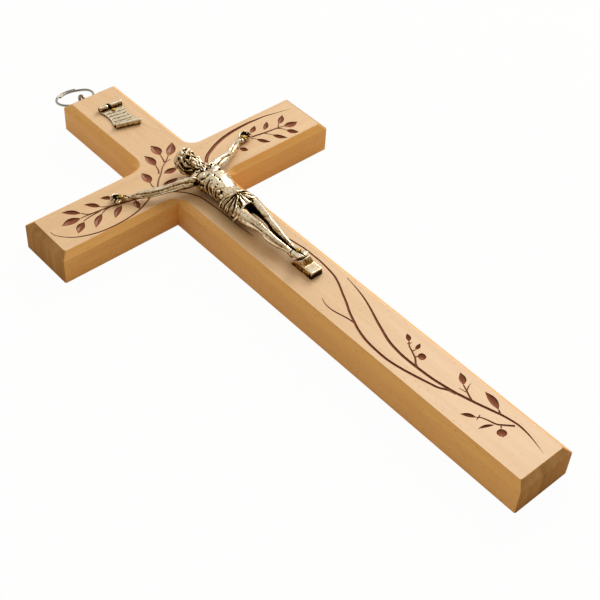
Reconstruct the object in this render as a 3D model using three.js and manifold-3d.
// A carved wooden wall cross with a cast silver figure, a small scroll above it and a hanging ring.
// Millimetres. The cross lies on its back: +X to the viewer's right, +Y towards the head end, +Z out of
// the front face. The origin is on the back face, at the middle of the crossing.
import * as THREE from 'three';
import { mergeVertices } from 'three/addons/utils/BufferGeometryUtils.js';
import Module from 'manifold-3d';

const wasm = await Module();
wasm.setup();

// Wooden slats
const slatWidth = 30;
const slatThickness = 15;
const armReach = 75.5;          // crossing to the end of either arm
const headReach = 75.5;         // crossing to the head end
const footReach = 218.5;        // crossing to the foot end
const chamferInset = 3;         // chamfer width, seen on the front face
const chamferDrop = 2.7;        // chamfer height, seen from the side
const cornerCutterRadius = 5;   // pilot radius of the cutter that rounds the chamfer in an inner corner

// Nails and their holes
const pilotGap = 0.25;          // round a shank in its hole
const headGap = 0.3;            // round a nail head in its seat
const holeBottomGap = 0.5;      // under the point of a shank
const nailShankRadius = 0.5;
const nailHeadRadius = 1.1;
const nailHeadHeight = 0.75;
const handNailDepth = 6;        // in the wood
const footNailDepth = 6.5;
const scrollNailDepth = 7;

// Scroll above the figure, held by one nail
const scrollWidth = 12.2;
const scrollWaist = 1.1;        // how far each side is drawn in at its middle
const scrollPlate = 0.85;       // sheet thickness
const scrollRollRadius = 0.95;  // middle of the sheet round a rolled end
const scrollRollTurn = THREE.MathUtils.degToRad(300);
const scrollSpan = 16.2;        // between the two rolls' axes, at the middle
const scrollFromTop = 25;       // head end to the middle of the scroll
const scrollOffCentre = 0.15;
const scrollTilt = THREE.MathUtils.degToRad(-9.5);
const scrollFan = 0.08;         // the rolls spread apart towards the right, as a slope
const scrollLean = 0.085;       // sideways lean of the sheet, as a slope
const scrollNailBelowRoll = 2.9;

// Figure: heights are above the front face
const palmSpan = 69.8;          // between the two palm nails
const palmBelow = 0.1;          // the palm nails below the crossing's middle
const palmSeat = 2.4;           // flat under a hand nail's head
const footNailBelow = 77.6;     // the foot nail below the crossing's middle
const footNailOffCentre = 1;
const footSeat = 6;
const blockWidth = 6.9;
const blockOffCentre = 0.8;
const blockTop = 77;            // the block's upper end, below the crossing's middle
const blockShoulder = 82.3;     // its highest part, under the toes
const blockLedge = 85;          // where its lower ledge starts
const blockBottom = 90;
const blockThin = 0.9;          // its height at the upper end
const blockHigh = 5.4;          // at the shoulder
const blockLow = 3.4;           // along the ledge
const blockDraft = 0.9;         // how far each side leans in, up to the shoulder

// Screw eye in the head end
const eyeWire = 1.6;
const eyeHoleRadius = 1.75;
const eyeOffCentre = -1.2;
const eyeAboveLap = 0.4;        // above the middle of the wood's thickness
const eyeShankRadius = 1;
const eyeShankLength = 12;
const eyeShoulderRadius = 0.9;  // where the shank meets the loop
const eyeShoulderLength = 1;    // wood to loop

// Hanging ring, one wire wound a little more than once round
const ringWire = 1.2;
const ringRadius = 9.27;        // middle of the wire
const ringLap = 0.15;           // between the two lapped ends
const ringStart = THREE.MathUtils.degToRad(56);
const ringTurn = THREE.MathUtils.degToRad(434);
const ringStepIn = THREE.MathUtils.degToRad(50);
const ringDroop = THREE.MathUtils.degToRad(-14.2);
const ringSlip = 0.77;          // how far the ring has slipped sideways in the eye
const ringLow = 0.8;            // the wire below the middle of the eye's hole
const ringBack = 0.75;          // the wire behind that middle, towards the wood

// Derived places
const half = slatWidth / 2;
const face = slatThickness;
const lapPlane = slatThickness / 2;
const shoulder = face - chamferDrop;
const cutterCentre = half + cornerCutterRadius;
const palmX = palmSpan / 2;
const palmY = -palmBelow;
const scrollY = headReach - scrollFromTop;
const ringInset = ringWire + ringLap;
const eyeLoopRadius = eyeHoleRadius + eyeWire / 2;
const eyeY = headReach + eyeShoulderLength + eyeHoleRadius + eyeWire;
const eyeZ = lapPlane + eyeAboveLap;

const roundSides = 12;

// Solids: a closed geometry becomes something that can be joined or cut
function solidOf(geometry) {
  const bare = geometry.clone();
  bare.deleteAttribute('normal');
  bare.deleteAttribute('uv');
  const merged = mergeVertices(bare, 1e-4);
  const corners = merged.getIndex().array;
  const triVerts = [];
  for (let i = 0; i < corners.length; i += 3) {
    const [a, b, c] = [corners[i], corners[i + 1], corners[i + 2]];
    if (a !== b && b !== c && c !== a) triVerts.push(a, b, c);
  }
  const vertProperties = new Float32Array(merged.getAttribute('position').array);
  return new wasm.Manifold(new wasm.Mesh({ numProp: 3, vertProperties, triVerts: new Uint32Array(triVerts) }));
}

function geometryOf(solid) {
  const mesh = solid.getMesh();
  const geometry = new THREE.BufferGeometry();
  geometry.setAttribute('position', new THREE.BufferAttribute(mesh.vertProperties, 3));
  geometry.setIndex(new THREE.BufferAttribute(mesh.triVerts, 1));
  geometry.computeVertexNormals();
  return geometry;
}

function join(solids) {
  return solids.reduce((whole, piece) => whole.add(piece));
}

function cut(solid, cutters) {
  return cutters.reduce((left, cutter) => left.subtract(cutter), solid);
}

function block(x0, x1, y0, y1, z0, z1) {
  const box = new THREE.BoxGeometry(x1 - x0, y1 - y0, z1 - z0);
  return solidOf(box.translate((x0 + x1) / 2, (y0 + y1) / 2, (z0 + z1) / 2));
}

// A round bar along Z, from z0 up to z1
function bar(x, y, z0, z1, r0, r1 = r0, sides = roundSides) {
  const cylinder = new THREE.CylinderGeometry(r1, r0, z1 - z0, sides).rotateX(Math.PI / 2);
  return solidOf(cylinder.translate(x, y, (z0 + z1) / 2));
}

// Turns a section drawn in XY and pushed out along Z so that it lies in YZ and runs along +X
function alongX(geometry) {
  const x = new THREE.Vector3(1, 0, 0);
  const y = new THREE.Vector3(0, 1, 0);
  const z = new THREE.Vector3(0, 0, 1);
  return geometry.applyMatrix4(new THREE.Matrix4().makeBasis(y, z, x));
}

// Wood
// A wedge that cuts the chamfer off one straight edge; the edge runs from start to end along +X at y = 0,
// and the wood lies on its -Y side
function chamferWedge(start, end) {
  const past = 1;
  const slope = chamferDrop / chamferInset;
  const section = new THREE.Shape([
    new THREE.Vector2(-chamferInset - past / slope, face + past),
    new THREE.Vector2(past, shoulder - past * slope),
    new THREE.Vector2(past, face + past),
  ]);
  const wedge = alongX(new THREE.ExtrudeGeometry(section, { depth: end - start, bevelEnabled: false }));
  return wedge.translate(start, 0, 0);
}

// The wedge for an edge on the side that `turn` quarter turns point to, at distance `reach`
function edgeCut(turn, reach, start, end) {
  return solidOf(chamferWedge(start, end).translate(0, reach, 0).rotateZ(turn * Math.PI / 2));
}

function innerCornerCuts() {
  const past = 1;
  const slope = chamferInset / chamferDrop;
  const topRadius = cornerCutterRadius + (chamferDrop + past) * slope;
  const cuts = [];
  for (const x of [-cutterCentre, cutterCentre]) {
    for (const y of [-cutterCentre, cutterCentre]) {
      cuts.push(bar(x, y, shoulder, face + past, cornerCutterRadius, topRadius, 48));
    }
  }
  return cuts;
}

function nailHole(x, y, depth) {
  return bar(x, y, face - depth - holeBottomGap, face + 1, nailShankRadius + pilotGap);
}

function eyeHole() {
  const length = eyeShankLength + holeBottomGap;
  const radius = eyeShankRadius + pilotGap;
  const hole = new THREE.CylinderGeometry(radius, radius, length + 1, roundSides);
  return solidOf(hole.translate(eyeOffCentre, headReach + (1 - length) / 2, eyeZ));
}

function uprightBeam() {
  const slat = block(-half, half, -footReach, headReach, 0, face);
  return cut(slat, [
    block(-half - 1, half + 1, -half, half, lapPlane, face + 1),
    ...innerCornerCuts(),
    edgeCut(0, headReach, -half - 1, half + 1),
    edgeCut(2, footReach, -half - 1, half + 1),
    edgeCut(1, half, cutterCentre, headReach + 1),
    edgeCut(1, half, -footReach - 1, -cutterCentre),
    edgeCut(3, half, cutterCentre, footReach + 1),
    edgeCut(3, half, -headReach - 1, -cutterCentre),
    nailHole(scrollNail().x, scrollNail().y, scrollNailDepth),
    nailHole(footNailOffCentre, -footNailBelow, footNailDepth),
    eyeHole(),
  ]);
}

function crossBeam() {
  const slat = block(-armReach, armReach, -half, half, 0, face);
  return cut(slat, [
    block(-half, half, -half - 1, half + 1, -1, lapPlane),
    ...innerCornerCuts(),
    edgeCut(1, armReach, -half - 1, half + 1),
    edgeCut(3, armReach, -half - 1, half + 1),
    edgeCut(0, half, cutterCentre, armReach + 1),
    edgeCut(0, half, -armReach - 1, -cutterCentre),
    edgeCut(2, half, cutterCentre, armReach + 1),
    edgeCut(2, half, -armReach - 1, -cutterCentre),
    nailHole(-palmX, palmY, handNailDepth),
    nailHole(palmX, palmY, handNailDepth),
  ]);
}

// Figure
// A limb with an oval section and round ends. Each end is [x, y, height, half width, half depth].
function limb(from, to, sides = 12, rings = 6) {
  const a = new THREE.Vector3(from[0], from[1], face + from[2]);
  const b = new THREE.Vector3(to[0], to[1], face + to[2]);
  const length = a.distanceTo(b);
  const along = b.clone().sub(a).normalize();
  const turn = new THREE.Quaternion().setFromUnitVectors(new THREE.Vector3(0, 1, 0), along);
  const form = new THREE.SphereGeometry(1, sides, rings);
  const points = form.getAttribute('position');
  const point = new THREE.Vector3();
  for (let i = 0; i < points.count; i += 1) {
    point.fromBufferAttribute(points, i);
    const end = point.y > -1e-6 ? to : from;
    point.set(point.x * end[3], point.y * (end[3] + end[4]) / 2, point.z * end[4]);
    if (end === to) point.y += length;
    point.applyQuaternion(turn).add(a);
    points.setXYZ(i, point.x, point.y, point.z);
  }
  return solidOf(form);
}

// Body forms, from the shoulders down; the sides are named as the viewer sees them
const neckBase = [1.8, -13, 7, 2.6, 2.6];
const skullBase = [-0.8, -8.2, 8.8, 2.5, 2.5];
const headLow = [-1.2, -7.2, 9.1, 5, 5.1];
const headHigh = [-2.1, -4.2, 9.3, 5.5, 5.4];
const chestHigh = [0.6, -16.2, 5.6, 7.4, 4.9];
const chestLow = [1.5, -22.6, 5.6, 7.1, 5.1];
const waist = [1.2, -30, 4.9, 6.2, 4.3];
const hipsHigh = [1.3, -35.6, 4.9, 7.5, 4.8];
const hipsLow = [1.2, -41.6, 4.8, 7.7, 4.7];
const leftLimbs = {
  shoulder: [-7.4, -14.9, 6.6, 2.4, 2.4],
  elbow: [-20.2, -10.1, 4.8, 1.8, 1.8],
  forearm: [-24.2, -7.9, 4.1, 2, 1.9],
  wrist: [-palmX + 3.7, palmY - 2.6, 2.2, 1.5, 1.4],
  palm: [-palmX - 0.8, palmY - 0.2, 1.6, 2.5, 1.4],
  fingers: [-palmX - 2.8, palmY + 0.2, 1.4, 2.1, 1.2],
  hip: [-2.1, -42, 4.9, 4.2, 4.2],
  knee: [-2.3, -57, 6.4, 2.6, 2.8],
  calf: [-1.9, -62, 5.8, 2.5, 2.6],
  ankle: [-0.5, -72.6, 4.6, 1.5, 1.6],
  heel: [-0.7, -76, 3.2, 1.6, 1.6],
  toes: [-0.6, -81.3, 6.2, 1.7, 1.3],
};
const rightLimbs = {
  shoulder: [9.6, -12.4, 6.4, 2.7, 2.6],
  elbow: [20.9, -8, 4.7, 2.1, 2],
  forearm: [24, -5.8, 4.2, 2.1, 2],
  wrist: [palmX - 3.6, palmY - 1.3, 2.2, 1.5, 1.4],
  palm: [palmX + 0.6, palmY, 1.6, 2.5, 1.4],
  fingers: [palmX + 2.8, palmY + 0.5, 1.4, 2.1, 1.2],
  hip: [4.9, -41, 4.9, 4.2, 4.2],
  knee: [3.3, -54.4, 6.8, 2.6, 2.8],
  calf: [2.5, -60.4, 6, 2.2, 2.5],
  ankle: [1.9, -72.8, 4.7, 1.4, 1.6],
  heel: [2.6, -76, 3.2, 1.6, 1.6],
  toes: [2.8, -81.5, 6.2, 1.7, 1.3],
};
const clothKnot = [2.6, -35.6, 9.2, 1.7, 1.3];
const clothEnd = [0.2, -43.2, 7.6, 2, 1.1];
const clothHem = [-4.6, -45.6, 4.4, 2.5, 3];

function armAndLeg(side) {
  return join([
    limb(side.elbow, side.shoulder),
    limb(side.forearm, side.elbow),
    limb(side.wrist, side.forearm),
    limb(side.palm, side.wrist),
    limb(side.fingers, side.palm),
    limb(side.knee, side.hip),
    limb(side.calf, side.knee),
    limb(side.ankle, side.calf),
    limb(side.heel, side.ankle),
    limb(side.toes, side.heel),
    limb(side.toes, side.ankle),
  ]);
}

// The wedge under the feet, drawn from the side and pushed out across the upright
function footBlock() {
  const side = new THREE.Shape([
    new THREE.Vector2(-blockBottom, 0),
    new THREE.Vector2(-blockTop, 0),
    new THREE.Vector2(-blockTop, blockThin),
    new THREE.Vector2(-blockShoulder, blockHigh),
    new THREE.Vector2(-blockLedge, blockLow),
    new THREE.Vector2(-blockBottom, blockLow),
  ]);
  const wedge = alongX(new THREE.ExtrudeGeometry(side, { depth: blockWidth, bevelEnabled: false }));
  wedge.translate(-blockWidth / 2, 0, 0);
  const points = wedge.getAttribute('position');
  for (let i = 0; i < points.count; i += 1) {
    const leanIn = 2 * blockDraft / blockWidth * points.getZ(i) / blockHigh;
    points.setX(i, points.getX(i) * (1 - leanIn));
  }
  return solidOf(wedge.translate(blockOffCentre, 0, face));
}

// A flat seat for a nail's head and a hole for its shank
function nailSeat(x, y, seat) {
  return join([
    bar(x, y, face + seat, face + seat + 20, nailHeadRadius + headGap),
    bar(x, y, face - 1, face + seat + 1, nailShankRadius + pilotGap),
  ]);
}

function corpus() {
  const whole = join([
    limb(neckBase, skullBase),
    limb(headLow, headHigh, 16, 10),
    limb(chestLow, chestHigh, 16, 8),
    limb(waist, chestLow, 16, 8),
    limb(hipsHigh, waist, 16, 8),
    limb(hipsLow, hipsHigh, 16, 8),
    limb(leftLimbs.shoulder, rightLimbs.shoulder),
    armAndLeg(leftLimbs),
    armAndLeg(rightLimbs),
    limb(clothEnd, clothKnot),
    limb(clothHem, hipsLow),
    footBlock(),
  ]);
  return cut(whole, [
    block(-armReach, armReach, -footReach, headReach, face - 20, face),
    nailSeat(-palmX, palmY, palmSeat),
    nailSeat(palmX, palmY, palmSeat),
    nailSeat(footNailOffCentre, -footNailBelow, footSeat),
  ]);
}

// Scroll
// Its sheet from the side: a strip with both ends rolled up to the front
function scrollSection() {
  const reach = scrollSpan / 2;
  const bend = 14;
  const upper = [];
  const lower = [];
  for (let i = 0; i <= bend; i += 1) {
    const turned = scrollRollTurn * i / bend;
    const across = scrollRollRadius * Math.sin(turned);
    const rise = -scrollRollRadius * Math.cos(turned);
    upper.push(new THREE.Vector2(reach + across, rise));
    lower.push(new THREE.Vector2(-reach - across, rise));
  }
  const middle = [...upper.reverse(), ...lower];
  const outer = [];
  const inner = [];
  middle.forEach((point, i) => {
    const before = middle[Math.max(i - 1, 0)];
    const after = middle[Math.min(i + 1, middle.length - 1)];
    const along = after.clone().sub(before).normalize();
    const across = new THREE.Vector2(along.y, -along.x).multiplyScalar(scrollPlate / 2);
    outer.push(point.clone().add(across));
    inner.push(point.clone().sub(across));
  });
  return new THREE.Shape([...outer, ...inner.reverse()]);
}

// Its outline from the front, with both sides drawn in
function scrollOutline() {
  const w = scrollWidth / 2;
  const h = scrollSpan / 2 + 2 * scrollRollRadius;
  const roll = scrollSpan / 2 - 2 * scrollRollRadius;
  const outline = new THREE.Shape();
  outline.moveTo(-w, -h);
  outline.lineTo(w, -h);
  outline.lineTo(w, -roll);
  outline.quadraticCurveTo(w - 2 * scrollWaist, 0, w, roll);
  outline.lineTo(w, h);
  outline.lineTo(-w, h);
  outline.lineTo(-w, roll);
  outline.quadraticCurveTo(-w + 2 * scrollWaist, 0, -w, -roll);
  return outline;
}

// Where a point of the square scroll goes on the cross: its rolls fan out, and the whole is tilted
function scrollPlace(x, y) {
  const fanned = y * (1 + scrollFan * x / (scrollWidth / 2));
  const leant = x - scrollLean * y;
  const turned = new THREE.Vector2(leant, fanned).rotateAround(new THREE.Vector2(), scrollTilt);
  return turned.add(new THREE.Vector2(scrollOffCentre, scrollY));
}

function scrollNail() {
  return scrollPlace(0, scrollSpan / 2 - scrollNailBelowRoll);
}

function titulusScroll() {
  const length = scrollWidth + 2;
  const steps = { depth: length, steps: 6, bevelEnabled: false };
  const sheet = alongX(new THREE.ExtrudeGeometry(scrollSection(), steps));
  sheet.translate(-length / 2, 0, face + scrollRollRadius + scrollPlate / 2);
  const cutDepth = { depth: 8, curveSegments: 10, bevelEnabled: false };
  const outline = new THREE.ExtrudeGeometry(scrollOutline(), cutDepth);
  const square = solidOf(sheet).intersect(solidOf(outline.translate(0, 0, face - 1)));
  const placed = geometryOf(square);
  const points = placed.getAttribute('position');
  for (let i = 0; i < points.count; i += 1) {
    const place = scrollPlace(points.getX(i), points.getY(i));
    points.setXYZ(i, place.x, place.y, Math.max(points.getZ(i), face));
  }
  const nail = scrollNail();
  return cut(solidOf(placed), [nailSeat(nail.x, nail.y, scrollPlate)]);
}

// Nails: a domed head on a pointed shank, drawn as half a section and turned
function nail(x, y, seat, depth) {
  const profile = [new THREE.Vector2(0, -seat - depth)];
  profile.push(new THREE.Vector2(nailShankRadius * 0.9, -seat - depth + 2 * nailShankRadius));
  profile.push(new THREE.Vector2(nailShankRadius, -seat - depth + 3 * nailShankRadius));
  profile.push(new THREE.Vector2(nailShankRadius, 0));
  profile.push(new THREE.Vector2(nailHeadRadius, 0));
  const domeSteps = 4;
  for (let i = 0; i <= domeSteps; i += 1) {
    const rise = Math.PI / 2 * i / domeSteps;
    const height = nailHeadHeight * (0.25 + 0.75 * Math.sin(rise));
    profile.push(new THREE.Vector2(nailHeadRadius * Math.cos(rise), height));
  }
  profile[profile.length - 1].x = 0;
  const turned = new THREE.LatheGeometry(profile, roundSides).rotateX(Math.PI / 2);
  return solidOf(turned.translate(x, y, face + seat));
}

// Screw eye: a wire loop on a screwed shank along Y
function screwEye() {
  const loop = new THREE.TorusGeometry(eyeLoopRadius, eyeWire / 2, 10, 24).rotateY(Math.PI / 2);
  const profile = [
    new THREE.Vector2(0, -eyeShankLength),
    new THREE.Vector2(eyeShankRadius * 0.5, 1.5 - eyeShankLength),
    new THREE.Vector2(eyeShankRadius, 4 - eyeShankLength),
    new THREE.Vector2(eyeShankRadius, 0),
    new THREE.Vector2(eyeShoulderRadius, eyeShoulderLength),
    new THREE.Vector2(0, eyeShoulderLength + eyeWire / 2),
  ];
  const shank = new THREE.LatheGeometry(profile, roundSides);
  return join([
    solidOf(loop.translate(eyeOffCentre, eyeY, eyeZ)),
    solidOf(shank.translate(eyeOffCentre, headReach, eyeZ)),
  ]);
}

// The ring's wire, flat in the XY plane round its own middle: its last stretch steps inside the first
class RingWire extends THREE.Curve {
  getPoint(t, target = new THREE.Vector3()) {
    const turned = ringTurn * t;
    const lapStart = 2 * Math.PI - ringStepIn;
    const stepped = THREE.MathUtils.smoothstep(turned, lapStart, lapStart + ringStepIn);
    const radius = ringRadius - ringInset * stepped;
    const angle = ringStart + turned;
    return target.set(radius * Math.cos(angle), radius * Math.sin(angle), 0);
  }
}

function hangingRing() {
  const section = new THREE.Shape().absarc(0, 0, ringWire / 2, 0, 2 * Math.PI);
  const wire = new THREE.ExtrudeGeometry(section, {
    extrudePath: new RingWire(), steps: 54, curveSegments: 4, bevelEnabled: false,
  });
  // the wire that lies in the eye comes to the origin, and the ring turns about it
  const across = Math.sqrt(ringRadius ** 2 - ringSlip ** 2);
  return wire.translate(ringSlip, across, 0).rotateX(ringDroop);
}

// Assembly
const cross = new THREE.Group();

function addPiece(name, geometry, colour, roughness, metalness, place = [0, 0, 0]) {
  const material = new THREE.MeshStandardMaterial({ color: colour, roughness, metalness });
  const mesh = new THREE.Mesh(geometry, material);
  mesh.name = name;
  mesh.position.set(...place);
  cross.add(mesh);
}

const titulusNail = nail(scrollNail().x, scrollNail().y, scrollPlate, scrollNailDepth);
const footNail = nail(footNailOffCentre, -footNailBelow, footSeat, footNailDepth);

const brass = ['#c9a24a', 0.35, 1];
const steel = ['#9a9a98', 0.3, 1];
const antiqueSilver = ['#b9b2a3', 0.35, 1];
const beech = ['#dcb084', 0.5, 0];

addPiece('upright_beam', geometryOf(uprightBeam()), ...beech);
addPiece('cross_beam', geometryOf(crossBeam()), ...beech);
addPiece('corpus', geometryOf(corpus()), ...antiqueSilver);
addPiece('titulus_scroll', geometryOf(titulusScroll()), ...antiqueSilver);
addPiece('titulus_nail', geometryOf(titulusNail), ...brass);
addPiece('hand_nail_left', geometryOf(nail(-palmX, palmY, palmSeat, handNailDepth)), ...brass);
addPiece('hand_nail_right', geometryOf(nail(palmX, palmY, palmSeat, handNailDepth)), ...brass);
addPiece('foot_nail', geometryOf(footNail), ...brass);
addPiece('screw_eye', geometryOf(screwEye()), ...steel);
addPiece('hanging_ring', hangingRing(), ...steel, [eyeOffCentre, eyeY - ringBack, eyeZ - ringLow]);

export default cross;
